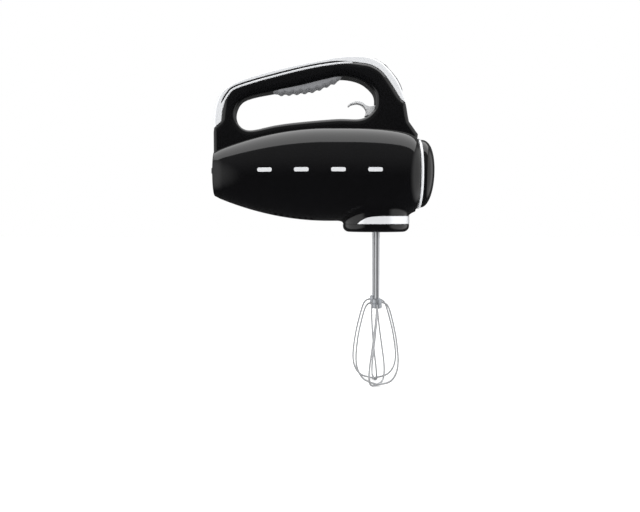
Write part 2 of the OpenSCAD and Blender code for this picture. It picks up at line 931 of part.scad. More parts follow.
module internal_leads() {
    color([0.6, 0.1, 0.1]) {
        for (s = [-1, 1])
            lead([[47.2, s * 4, -20], [54, s * 4, -20.5], [60, s * 8, -20], [66, s * 19.5, -6.5]],
                [0, 1, s * 0.4]);
        lead([[21, 0, -17.3], [13, 0, 0], [13, 0, 58], [18, 0, 76], [40, 0, 83.5], [82, 0, 93.5],
              [125, 0, 105], [150, 0, 104], [164, 0, 96]], [0, 1, 0]);
    }
}

// ---------- Fasteners ----------

// Pan-head screw, with the head's underside at the origin and the shank along +Z
module screw(length) {
    rod_z([-2, 0], 3);
    rod_z([-1, length], 1.5);
}

module housing_screws() {
    color(STEEL) {
        for (x = SCREW_X) translate([x, 0, body_radius(x - heel_proud) - wall - head_seat])
            screw(wall + head_seat + screw_bite);
        for (s = [-1, 1]) translate([spindle_x + s * cap_screw_dx, 0, cap_bottom + 3])
            screw(14);
    }
}

module gearbox_screws() {
    color(STEEL) for (p = POSTS) translate([p[0], p[1], 14]) rotate([180, 0, 0]) screw(13);
}

module motor_screws() {
    color(STEEL) motor_bolts([rear_bracket_x - 0.5, front_bracket_x + bracket_t + 1.5], 1.5);
    color(STEEL) motor_bolts([rear_bracket_x - 2.5, rear_bracket_x], 2.8);
}

lower_housing();
handle_housing();
top_trim();
grip_pad();
nose_cap();
nose_ring();
collar_band();
collar_cap();
heel_bar();
cord_gland();
badge_bars(1);  // badge_bars_left
badge_bars(-1);  // badge_bars_right
control_panel();
display_lens();
power_button();
speed_up_button();
speed_down_button();
turbo_button();
control_board();
eject_lever();
lever_pin();
eject_spring();
eject_slider();
stator_core();
field_coils();
armature_core();
armature_windings();
commutator();
motor_shaft();
drive_worm();
cooling_fan();
front_bearing();
rear_bearing();
rear_bracket();
front_bracket();
brush_holders();
carbon_brushes();
brush_springs();
gearbox_base();
gearbox_cover();
worm_wheel(1);  // worm_wheel_left
worm_wheel(-1);  // worm_wheel_right
spindle(1);  // spindle_left
spindle(-1);  // spindle_right
spindle_bushings();
thrust_washer(1);  // thrust_washer_left
thrust_washer(-1);  // thrust_washer_right
whisk_shaft(1);  // whisk_shaft_left
whisk_shaft(-1);  // whisk_shaft_right
whisk_hub(1);  // whisk_hub_left
whisk_hub(-1);  // whisk_hub_right
whisk_wires(1);  // whisk_wires_left
whisk_wires(-1);  // whisk_wires_right
power_board();
suppressor_capacitor();
internal_leads();
housing_screws();
gearbox_screws();
motor_screws();
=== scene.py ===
"""Looks of the hand mixer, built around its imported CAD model.

Sizes in the classes are in millimetres, in the frame of the CAD model: X runs from the heel to the
nose, Z is up and Y is to the left. Each mesh is scaled to metres when it is finished.
"""

import json
import logging
import math
from dataclasses import dataclass
from enum import Enum
from typing import Callable, Iterable, Optional, Sequence

import bmesh
import bpy
from mathutils import Matrix, Vector


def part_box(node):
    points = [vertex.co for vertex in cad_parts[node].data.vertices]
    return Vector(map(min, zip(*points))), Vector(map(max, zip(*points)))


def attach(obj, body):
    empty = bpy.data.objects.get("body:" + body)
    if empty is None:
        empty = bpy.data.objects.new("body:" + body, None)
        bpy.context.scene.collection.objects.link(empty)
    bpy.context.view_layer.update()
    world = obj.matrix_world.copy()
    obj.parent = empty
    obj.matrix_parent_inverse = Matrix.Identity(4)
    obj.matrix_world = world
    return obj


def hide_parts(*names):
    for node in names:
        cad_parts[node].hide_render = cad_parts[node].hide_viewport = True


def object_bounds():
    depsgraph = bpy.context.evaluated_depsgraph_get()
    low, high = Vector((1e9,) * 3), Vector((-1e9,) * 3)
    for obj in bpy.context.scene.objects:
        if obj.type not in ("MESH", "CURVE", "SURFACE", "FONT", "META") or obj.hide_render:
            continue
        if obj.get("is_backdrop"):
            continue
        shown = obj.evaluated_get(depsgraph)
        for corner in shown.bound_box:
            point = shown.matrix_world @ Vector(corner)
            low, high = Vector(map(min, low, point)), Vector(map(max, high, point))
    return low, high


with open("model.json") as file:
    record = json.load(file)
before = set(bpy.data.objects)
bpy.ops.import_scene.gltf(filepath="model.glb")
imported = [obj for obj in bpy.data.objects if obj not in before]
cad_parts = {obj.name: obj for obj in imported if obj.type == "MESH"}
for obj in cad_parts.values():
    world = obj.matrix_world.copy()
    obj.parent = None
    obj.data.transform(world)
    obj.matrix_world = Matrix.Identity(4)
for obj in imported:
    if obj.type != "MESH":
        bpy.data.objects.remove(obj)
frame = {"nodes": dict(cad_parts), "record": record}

MM = 0.001
LOG = logging.getLogger("hand_mixer")
Point2 = tuple[float, float]
Point3 = tuple[float, float, float]


# ---------------------------------------------------------------- curves


def spline_point(points: Sequence[Sequence[float]], t: float) -> tuple[float, ...]:
    """Point on a Catmull-Rom curve.

    Args:
        points: The points that the curve passes through.
        t: Span number and share of the span, so 2.5 is halfway from point 2 to point 3.

    Returns:
        The point, with as many coordinates as the given points have.
    """
    last = len(points) - 1
    i = min(max(int(math.floor(t)), 0), last - 1)
    u = t - i
    a, b = points[max(i - 1, 0)], points[i]
    c, d = points[i + 1], points[min(i + 2, last)]
    return tuple(
        0.5 * (2 * q + (r - p) * u + (2 * p - 5 * q + 4 * r - s) * u**2
               + (3 * q - p - 3 * r + s) * u**3)
        for p, q, r, s in zip(a, b, c, d)
    )


def open_curve(points: Sequence[Sequence[float]], steps: int) -> list[tuple[float, ...]]:
    """Points along an open curve, with the given number of steps in each span."""
    count = (len(points) - 1) * steps
    return [spline_point(points, i / steps) for i in range(count + 1)]


def ring_curve(points: Sequence[Sequence[float]], steps: int) -> list[tuple[float, ...]]:
    """Points round a closed curve, without repeating the first."""
    wrapped = [points[-1], *points, points[0], points[1]]
    return [spline_point(wrapped, 1 + i / steps) for i in range(len(points) * steps)]


def even(points: Sequence[Sequence[float]], count: int, closed: bool = False) -> list[Vector]:
    """Spaces points evenly along a path.

    Args:
        points: The path, in two or three coordinates.
        count: Number of points to return.
        closed: Whether the path returns to its start.

    Returns:
        The evenly spaced points.
    """
    path = [Vector(p) for p in points]
    if closed:
        path.append(path[0].copy())
    lengths = [0.0]
    for a, b in zip(path, path[1:]):
        lengths.append(lengths[-1] + (b - a).length)
    total, out, k = lengths[-1], [], 0
    for i in range(count):
        want = total * i / (count if closed else count - 1)
        while k < len(path) - 2 and lengths[k + 1] < want:
            k += 1
        span = max(lengths[k + 1] - lengths[k], 1e-9)
        out.append(path[k].lerp(path[k + 1], min((want - lengths[k]) / span, 1.0)))
    return out


def left_of(line: Sequence[Vector], i: int) -> Vector:
    """Unit direction to the left of a flat path at one of its points."""
    along = (line[min(i + 1, len(line) - 1)] - line[max(i - 1, 0)]).normalized()
    return Vector((-along.y, along.x))


def table_value(table: Sequence[Point2], x: float) -> float:
    """Smooth value at x of a table of (x, value) pairs."""
    if x <= table[0][0]:
        return table[0][1]
    for i, (a, b) in enumerate(zip(table, table[1:])):
        if x <= b[0]:
            return spline_point(table, i + (x - a[0]) / (b[0] - a[0]))[1]
    return table[-1][1]


# ---------------------------------------------------------------- mesh making


class Piece:
    """A mesh in the making, in millimetres, that ends as one named object."""

    def __init__(self, name: str) -> None:
        """Starts an empty mesh for the object of that name."""
        self.name = name
        self.bm = bmesh.new()

    def loop(self, points: Iterable[Sequence[float]],
             closed: bool = True) -> list[bmesh.types.BMEdge]:
        """Adds a chain of edges through the points and returns its edges."""
        verts = [self.bm.verts.new(p) for p in points]
        ends = verts[1:] + verts[:1] if closed else verts[1:]
        return [self.bm.edges.new(pair) for pair in zip(verts, ends)]

    def loft(self, loops: Sequence[Sequence[Sequence[float]]]) -> None:
        """Bridges closed loops with equal numbers of points in order, and caps both ends."""
        chains = [self.loop(points) for points in loops]
        for a, b in zip(chains, chains[1:]):
            bmesh.ops.bridge_loops(self.bm, edges=a + b)
        for chain in (chains[0], chains[-1]):
            bmesh.ops.edgeloop_fill(self.bm, edges=chain)

    def slab(self, upper: Sequence[Sequence[float]], lower: Sequence[Sequence[float]], half: float,
             closed: bool) -> None:
        """Makes a plate between two curves in the XZ plane, centred on Y = 0.

        Args:
            upper: One edge of the plate, as (x, z) points.
            lower: The other edge, with as many points.
            half: Half of the plate's width along Y.
            closed: Whether the curves are closed, so that the plate is a frame.
        """
        a = self.loop([(x, -half, z) for x, z in upper], closed)
        b = self.loop([(x, -half, z) for x, z in lower], closed)
        faces = bmesh.ops.bridge_loops(self.bm, edges=a + b)["faces"]
        grown = bmesh.ops.extrude_face_region(self.bm, geom=faces, use_keep_orig=True)["geom"]
        moved = [g for g in grown if isinstance(g, bmesh.types.BMVert)]
        bmesh.ops.translate(self.bm, verts=moved, vec=(0, 2 * half, 0))
        self.outward()

    def turn(self, profile: Sequence[Point2], axis: str, centre: Sequence[float], steps: int,
             closed: bool = False) -> list[bmesh.types.BMVert]:
        """Spins a profile of (along, radius) points round an axis through a centre.

        Args:
            profile: Distances along the axis, with the radius at each.
            axis: "x" or "z".
            centre: A point on the axis, from which the distances are measured.
            steps: Number of steps in the full turn.
            closed: Whether the profile is a closed section.

        Returns:
            The vertices that were made.
        """
        before = set(self.bm.verts)
        place = (lambda s, r: (s, 0.0, r)) if axis == "x" else (lambda s, r: (r, 0.0, s))
        edges = self.loop([place(s, r) for s, r in profile], closed)
        around = (1, 0, 0) if axis == "x" else (0, 0, 1)
        verts = list({v for e in edges for v in e.verts})
        bmesh.ops.spin(self.bm, geom=verts + edges, cent=(0, 0, 0), axis=around, angle=2 * math.pi,
                       steps=steps, use_merge=True, use_duplicate=False)
        made = [v for v in self.bm.verts if v not in before]
        bmesh.ops.remove_doubles(self.bm, verts=made, dist=1e-4)
        made = [v for v in self.bm.verts if v not in before]
        bmesh.ops.translate(self.bm, verts=made, vec=centre)
        self.outward()
        return made

    def block(self, low: Sequence[float], high: Sequence[float], rounding: float = 0.0,
              segments: int = 4) -> list[bmesh.types.BMVert]:
        """Adds a box between two corners, with its edges rounded, and returns its vertices."""
        before = set(self.bm.verts)
        size = [h - g for g, h in zip(low, high)]
        middle = [(g + h) / 2 for g, h in zip(low, high)]
        place = Matrix.Translation(middle) @ Matrix.Diagonal((*size, 1))
        made = bmesh.ops.create_cube(self.bm, size=1, matrix=place)["verts"]
        if rounding:
            edges = list({e for v in made for e in v.link_edges})
            self.bevel(edges, rounding, segments)
        return [v for v in self.bm.verts if v not in before]

    def bevel(self, edges: Sequence[bmesh.types.BMEdge], width: float, segments: int) -> None:
        """Rounds edges to a radius."""
        bmesh.ops.bevel(self.bm, geom=list(edges), offset=width, offset_type="OFFSET",
                        affect="EDGES", segments=segments, profile=0.5, material=-1,
                        clamp_overlap=False)

    def tube(self, path: Sequence[Vector], radius: float, sides: int) -> None:
        """Runs a round section along a path, with frames that don't twist."""
        last, loops, side = len(path) - 1, [], None
        for i, point in enumerate(path):
            ahead = path[min(i + 1, last)]
            behind = path[max(i - 1, 0)]
            way = (ahead - behind).normalized()
            side = way.orthogonal() if side is None else side - way * side.dot(way)
            side.normalize()
            other = way.cross(side)
            turns = (2 * math.pi * k / sides for k in range(sides))
            loops.append([point + (side * math.cos(a) + other * math.sin(a)) * radius for a in turns])
        self.loft(loops)

    def outward(self) -> None:
        """Turns every face's normal outwards."""
        bmesh.ops.recalc_face_normals(self.bm, faces=self.bm.faces[:])

    def reshape(self, rule: Callable[[Vector], Vector]) -> None:
        """Moves every vertex by a rule from its place to its new place."""
        for v in self.bm.verts:
            v.co = rule(v.co)

    def finish(self, look: "Look", body: str, nodes: Sequence[str] = (), crease: float = 34.0,
               holes: Sequence["Piece"] = (), flat_sides: bool = True) -> bpy.types.Object:
        """Ends the mesh as an object that rides on a body.

        Args:
            look: The surface finish, which also names the record's slot.
            body: CAD body that the piece rides on.
            nodes: CAD nodes that the piece stands for.
            crease: Edges sharper than this many degrees stay sharp.
            holes: Pieces that are cut away from this one.
            flat_sides: Whether large faces keep their own direction in the shading.

        Returns:
            The finished object.
        """
        obj = self.solid(crease)
        for k, hole in enumerate(holes):
            cutter = hole.solid(crease)
            cut = obj.modifiers.new(f"cut_{k}", "BOOLEAN")
            cut.operation, cut.solver, cut.object = "DIFFERENCE", "EXACT", cutter
            depsgraph = bpy.context.evaluated_depsgraph_get()
            result = bpy.data.meshes.new_from_object(obj.evaluated_get(depsgraph))
            obj.modifiers.clear()
            obj.data = result
            bpy.data.objects.remove(cutter)
        if holes:
            mark_creases(obj.data, crease)
        if flat_sides:
            even_out = obj.modifiers.new("even_shading", "WEIGHTED_NORMAL")
            even_out.keep_sharp = True
        obj.data.materials.clear()
        obj.data.materials.append(look.material())
        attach(obj, body)
        if nodes:
            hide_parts(*nodes)
        LOG.info("%s: %d faces on %s", self.name, len(obj.data.polygons), body)
        return obj

    def solid(self, crease: float) -> bpy.types.Object:
        """Makes an object in metres from the mesh, shaded smooth up to the crease angle."""
        bmesh.ops.scale(self.bm, vec=(MM, MM, MM), verts=self.bm.verts[:])
        mesh = bpy.data.meshes.new(self.name)
        self.bm.to_mesh(mesh)
        self.bm.free()
        mark_creases(mesh, crease)
        obj = bpy.data.objects.new(self.name, mesh)
        bpy.context.scene.collection.objects.link(obj)
        return obj


def mark_creases(mesh: bpy.types.Mesh, crease: float) -> None:
    """Shades a mesh smooth, apart from edges sharper than the crease angle in degrees."""
    bm = bmesh.new()
    bm.from_mesh(mesh)
    for f in bm.faces:
        f.smooth = True
    for e in bm.edges:
        e.smooth = len(e.link_faces) == 2 and e.calc_face_angle(0.0) < math.radians(crease)
    bm.to_mesh(mesh)
    bm.free()


# ---------------------------------------------------------------- finishes


def linear(code: str) -> tuple[float, float, float, float]:
    """Turns an sRGB hex colour into linear red, green, blue and alpha."""
    parts = (int(code[i:i + 2], 16) / 255 for i in (1, 3, 5))
    return (*(c / 12.92 if c <= 0.04045 else ((c + 0.055) / 1.055) ** 2.4 for c in parts), 1.0)


def add(tree: bpy.types.NodeTree, kind: str, sockets: Optional[dict] = None,
        links: Optional[dict] = None, **settings: object) -> bpy.types.Node:
    """Adds one shader node.

    Args:
        tree: The node tree.
        kind: Node type without its "ShaderNode" prefix.
        sockets: Values of input sockets by name or number.
        links: Output sockets to link to input sockets by name or number.
        **settings: Properties of the node.

    Returns:
        The new node.
    """
    node = tree.nodes.new("ShaderNode" + kind)
    for key, value in settings.items():
        setattr(node, key, value)
    for key, value in (sockets or {}).items():
        node.inputs[key].default_value = value
    for key, output in (links or {}).items():
        tree.links.new(output, node.inputs[key])
    return node


class Grain(Enum):
    """How the fine relief of a surface is laid out."""

    NOISE = "noise"
    CELLS = "cells"
    BANDS = "bands"


@dataclass(frozen=True)
class Look:
    """One surface finish, which is one slot of the record.

    Attributes:
        slot: Slot name in the record.
        title: Common name of the material and how its surface was made.
        colour: Main colour.
        second: Colour that the main one drifts to in patches.
        metallic: Share of the finish that shines as metal: 1 is bare metal, 0 is none, and thin
            or bright plating lies between.
        roughness: Mean roughness.
        spread: How far roughness drifts either way.
        ior: Index of refraction, left alone on a metal.
        grain: Kind of fine relief.
        grain_mm: Size of the relief's features.
        depth_mm: Height of the relief.
        stretch: How many times longer the features are along X, Y and Z.
        patch_mm: Size of the colour and roughness patches.
        coat: Weight of a clear coat.
        coat_roughness: Roughness of that coat.
    """

    slot: str
    title: str
    colour: str
    second: str
    metallic: float = 0.0
    roughness: float = 0.4
    spread: float = 0.05
    ior: float = 1.5
    grain: Grain = Grain.NOISE
    grain_mm: float = 1.0
    depth_mm: float = 0.01
    stretch: tuple[float, float, float] = (1.0, 1.0, 1.0)
    patch_mm: float = 25.0
    coat: float = 0.0
    coat_roughness: float = 0.05

    def material(self) -> bpy.types.Material:
        """Returns this finish's material, and builds it the first time."""
        name = self.title.replace(" ", "_")
        found = bpy.data.materials.get(name)
        return found or self.build(name)

    def build(self, name: str) -> bpy.types.Material:
        """Builds the node tree: patches of colour and roughness, and fine relief.

        Args:
            name: Name of the material.

        Returns:
            The new material.
        """
        material = bpy.data.materials.new(name)
        material.use_nodes = True
        tree = material.node_tree
        tree.nodes.clear()
        place = add(tree, "TexCoord").outputs["Object"]
        drift = add(tree, "TexNoise", {"Scale": 1 / (self.patch_mm * MM), "Detail": 3.0},
                    {"Vector": place}).outputs["Fac"]
        tint = add(tree, "Mix", {6: linear(self.colour), 7: linear(self.second)}, {0: drift},
                   data_type="RGBA").outputs[2]
        rough = add(tree, "MapRange", {"To Min": max(self.roughness - self.spread, 0.0),
                                       "To Max": self.roughness + self.spread},
                    {"Value": drift}).outputs["Result"]
        scale = tuple(1 / s for s in self.stretch)
        run = add(tree, "Mapping", {"Scale": scale}, {"Vector": place}).outputs["Vector"]
        relief = self.relief(tree, run)
        bump = add(tree, "Bump", {"Strength": 1.0, "Distance": self.depth_mm * MM},
                   {"Height": relief}).outputs["Normal"]
        shader = add(tree, "BsdfPrincipled",
                     {"Metallic": self.metallic, "Coat Weight": self.coat,
                      "Coat Roughness": self.coat_roughness},
                     {"Base Color": tint, "Roughness": rough, "Normal": bump})
        if not self.metallic:
            shader.inputs["IOR"].default_value = self.ior
        add(tree, "OutputMaterial", links={"Surface": shader.outputs["BSDF"]})
        return material

    def relief(self, tree: bpy.types.NodeTree, run: bpy.types.NodeSocket) -> bpy.types.NodeSocket:
        """Adds the fine relief's texture and returns its height socket."""
        scale = 1 / (self.grain_mm * MM)
        if self.grain is Grain.CELLS:
            return add(tree, "TexVoronoi", {"Scale": scale}, {"Vector": run}).outputs["Distance"]
        if self.grain is Grain.BANDS:
            # A wave texture repeats 20 / (2 pi) times in a unit at a scale of 1
            return add(tree, "TexWave", {"Scale": scale * math.pi / 10, "Distortion": 0.4},
                       {"Vector": run}).outputs["Fac"]
        return add(tree, "TexNoise", {"Scale": scale, "Detail": 2.0}, {"Vector": run}).outputs["Fac"]


LOOKS = {look.slot: look for look in (
    # Glossy moulded ABS: nearly a black mirror, with the faint ripple of moulded skin
    Look("black_shell", "high gloss black ABS", "#050506", "#08080A", roughness=0.07, spread=0.02,
         ior=1.53, grain_mm=9, depth_mm=0.012),
    # Chromium on moulded ABS: bright, slightly soft because the skin under it isn't ground
    Look("chrome_trim", "chrome plated ABS", "#F1F2F4", "#E9EBEE", metallic=0.35, roughness=0.2,
         spread=0.03, grain_mm=6, depth_mm=0.006),
    # Thermoplastic elastomer, spark-eroded mould: matt grey with a pebbled skin
    Look("grip_rubber", "pebbled grey elastomer", "#828385", "#717276", roughness=0.62, ior=1.5,
         grain=Grain.CELLS, grain_mm=0.9, depth_mm=0.16, patch_mm=3),
    Look("rubber_black", "matt black rubber", "#141415", "#1B1B1C", roughness=0.7, grain_mm=0.6,
         depth_mm=0.03),
    # Smoked acrylic over the display: dark and wet-looking
    Look("display", "smoked acrylic", "#090B0E", "#0C1013", roughness=0.04, spread=0.01, ior=1.49,
         coat=0.6, grain_mm=12, depth_mm=0.002),
    Look("button_metal", "satin nickel plate", "#C9CACC", "#BDBFC1", metallic=1.0, roughness=0.28,
         grain_mm=0.25, depth_mm=0.003, stretch=(8, 1, 8)),
    Look("button_grey", "satin grey ABS", "#7E8083", "#75777A", roughness=0.38, grain_mm=0.4,
         depth_mm=0.01),
    # Woven glass laminate under green solder mask
    Look("circuit_board", "green glass laminate", "#0F4A2C", "#0B3B24", roughness=0.35,
         grain=Grain.BANDS, grain_mm=0.6, depth_mm=0.01, coat=0.4),
    # Polished chromium on die-cast metal: bright, with a sharp gloss
    Look("lever_chrome", "polished chrome casting", "#F4F5F6", "#ECEDEF", metallic=0.4,
         roughness=0.08, spread=0.02, grain_mm=5, depth_mm=0.002),
    Look("plated_steel", "zinc plated steel", "#B9BCC0", "#A9ADB3", metallic=0.7, roughness=0.33,
         grain=Grain.CELLS, grain_mm=1.2, depth_mm=0.004, patch_mm=6),
    Look("white_acetal", "white acetal", "#E8E7E1", "#DEDDD6", roughness=0.36, grain_mm=0.8,
         depth_mm=0.008),
    # Stamped sheets, 0.5 mm thick, whose edges show as fine bands
    Look("laminated_steel", "stacked electrical steel", "#74777B", "#63666B", metallic=1.0,
         roughness=0.45, grain=Grain.BANDS, grain_mm=0.5, depth_mm=0.05),
    Look("copper_wire", "enamelled copper winding", "#B4622F", "#9A4C22", metallic=1.0,
         roughness=0.3, grain=Grain.BANDS, grain_mm=0.6, depth_mm=0.12, coat=0.5),
    Look("ground_steel", "ground steel", "#DCDDE0", "#CFD1D4", metallic=0.6, roughness=0.2,
         grain_mm=0.15, depth_mm=0.002, stretch=(1, 6, 6)),
    Look("fan_plastic", "glass filled nylon", "#1A1B1D", "#222326", roughness=0.52, grain_mm=0.5,
         depth_mm=0.02),
    Look("sintered_bronze", "sintered bronze", "#A9783F", "#8E6231", metallic=1.0, roughness=0.5,
         grain=Grain.CELLS, grain_mm=0.35, depth_mm=0.03),
    Look("sheet_brass", "rolled sheet brass", "#D2AE5C", "#C29C4B", metallic=1.0, roughness=0.28,
         grain_mm=0.2, depth_mm=0.003, stretch=(10, 1, 1)),
    Look("carbon", "pressed carbon", "#202022", "#2B2B2D", roughness=0.55, grain_mm=0.3,
         depth_mm=0.02),
    Look("grey_nylon", "moulded grey nylon", "#6F7376", "#64686B", roughness=0.45, grain_mm=0.8,
         depth_mm=0.015),
    # Drawn stainless wire: bright, with fine lines along its length
    Look("stainless_wire", "drawn stainless steel", "#D3D4D6", "#C4C6C9", metallic=0.65,
         roughness=0.17, spread=0.05, grain_mm=0.3, depth_mm=0.003, stretch=(1, 1, 14),
         patch_mm=8),
    Look("capacitor_case", "moulded blue epoxy", "#2B4F86", "#244574", roughness=0.3, grain_mm=1.5,
         depth_mm=0.02),
    Look("lead_insulation", "soft PVC insulation", "#B0231E", "#9C1D19", roughness=0.42,
         grain_mm=0.7, depth_mm=0.01),
)}


# ---------------------------------------------------------------- sub-assemblies


@dataclass
class MainBody:
    """Bullet-shaped body with the round collar under its nose."""

    start: float = 1.5
    length: float = 204.5
    radius: float = 47.5
    rear_radius: float = 23.0
    belly: float = 115.0
    front_drop: float = 8.5
    rim_round: float = 4.5
    wall: float = 2.4
    mouth_radius: float = 30.2
    collar_x: float = 164.5
    collar_radius: float = 33.25
    flare: float = 7.0
    flare_front: float = 203.5
    band_line: tuple[Point2, ...] = ((131, -50.5), (144, -50.5), (147, -47.6), (152, -44.9),
                                     (158, -43.4), (166, -42.8), (200, -42.5))
    vent_x: tuple[float, ...] = (63.5, 69.5, 75.5, 81.5, 87.5, 93.5, 99.5)
    vent_y: Point2 = (-15.0, 6.0)
    vent_half: float = 1.1

    def radius_at(self, x: float) -> float:
        """Radius of the skin at a place along the axis."""
        s = x - self.start
        back = max(0.0, 1 - s / self.belly)
        fore = max(0.0, (s - self.belly) / (self.length - self.belly))
        narrow = (self.radius - self.rear_radius) * back**2
        return self.radius - narrow - self.front_drop * fore**3.4 - self.rim_round * fore**20

    def shell(self) -> None:
        """Makes the hollow body and its vents."""
        piece = Piece("body_shell")
        end = self.start + self.length
        edge = 1.6
        corner = [(self.start + edge * (1 - math.cos(a)),
                   self.rear_radius - edge * (1 - math.sin(a)))
                  for a in (math.radians(9 * k) for k in range(10))]
        # Closer steps towards the rim, where the skin turns quickly
        share = [1 - (1 - k / 72) ** 1.6 for k in range(1, 73)]
        outer = [(self.start + edge + (self.length - edge) * s, 0.0) for s in share]
        outer = [(x, self.radius_at(x)) for x, _ in outer]
        inner = [(x, self.radius_at(x) - self.wall) for x, _ in outer[::-3] if x < end - 6]
        lip = [(end, self.mouth_radius), (end - 5, self.mouth_radius)]
        back = [(self.start + self.wall, 0.0)]
        piece.turn([(self.start, 0.0), *corner, *outer, *lip, *inner, *back], "x", (0, 0, 0), 144)
        vents = []
        for x in self.vent_x:
            for y in self.vent_y:
                slot = Piece("vent")
                slot.block((x - self.vent_half, y, -60), (x + self.vent_half, y + 9, -35), 1.0, 4)
                vents.append(slot)
        piece.finish(LOOKS["black_shell"], "housing", ["lower_housing"], holes=vents)

    def boss(self) -> None:
        """Makes the collar's wall, which flares into the belly and stops at the bright band."""
        piece = Piece("collar_boss")
        steps = 12
        # Made first as a plain sleeve, then each row is moved to its place on the two skins
        rows = [(float(k), self.collar_radius) for k in range(steps + 2)]
        inside = [(float(steps + 1), self.collar_radius - 5), (0.0, self.collar_radius - 5)]
        piece.turn([*rows, *inside], "z", (0, 0, 0), 144, closed=True)
        for v in piece.bm.verts:
            angle = math.atan2(v.co.y, v.co.x)
            row, out = round(v.co.z), math.hypot(v.co.x, v.co.y) > self.collar_radius - 1
            v.co = self.boss_point(angle, row, out, steps)
        piece.outward()
        piece.finish(LOOKS["black_shell"], "housing", flat_sides=False)

    def boss_point(self, angle: float, row: int, outside: bool, steps: int) -> Vector:
        """Place of one vertex of the collar's wall.

        Args:
            angle: Direction from the collar's axis.
            row: Row number, from the band up to the belly.
            outside: Whether it is on the outer skin.
            steps: Number of rows in the flare.

        Returns:
            The point.
        """
        def on_wall(r: float) -> Point3:
            """Point of the body's underside at a distance from the collar's axis."""
            x = self.collar_x + r * math.cos(angle)
            y = r * math.sin(angle)
            skin = self.radius_at(min(x, self.start + self.length - 4))
            return x, y, -math.sqrt(max(skin**2 - y**2, 1.0))

        wall_r = self.collar_radius
        x, y, skin_z = on_wall(wall_r)
        low = table_value(self.band_line, x)
        top = max(skin_z - self.flare * 0.55, low + 0.05)
        if not outside:
            x, y, _ = on_wall(wall_r - 5)
            return Vector((x, y, low if row == 0 else skin_z + 4))
        if row == 0:
            return Vector((x, y, low))
        t = (row - 1) / steps
        room = (self.flare_front - self.collar_x) / max(math.cos(angle), 0.01)
        ex, ey, ez = on_wall(min(wall_r + self.flare, max(room, wall_r + 0.5)))
        start, corner, end = Vector((x, y, top)), Vector((x, y, skin_z)), Vector((ex, ey, ez + 0.04))
        return start * (1 - t) ** 2 + corner * 2 * t * (1 - t) + end * t**2

    def build(self) -> None:
        """Builds the body's pieces."""
        self.shell()
        self.boss()


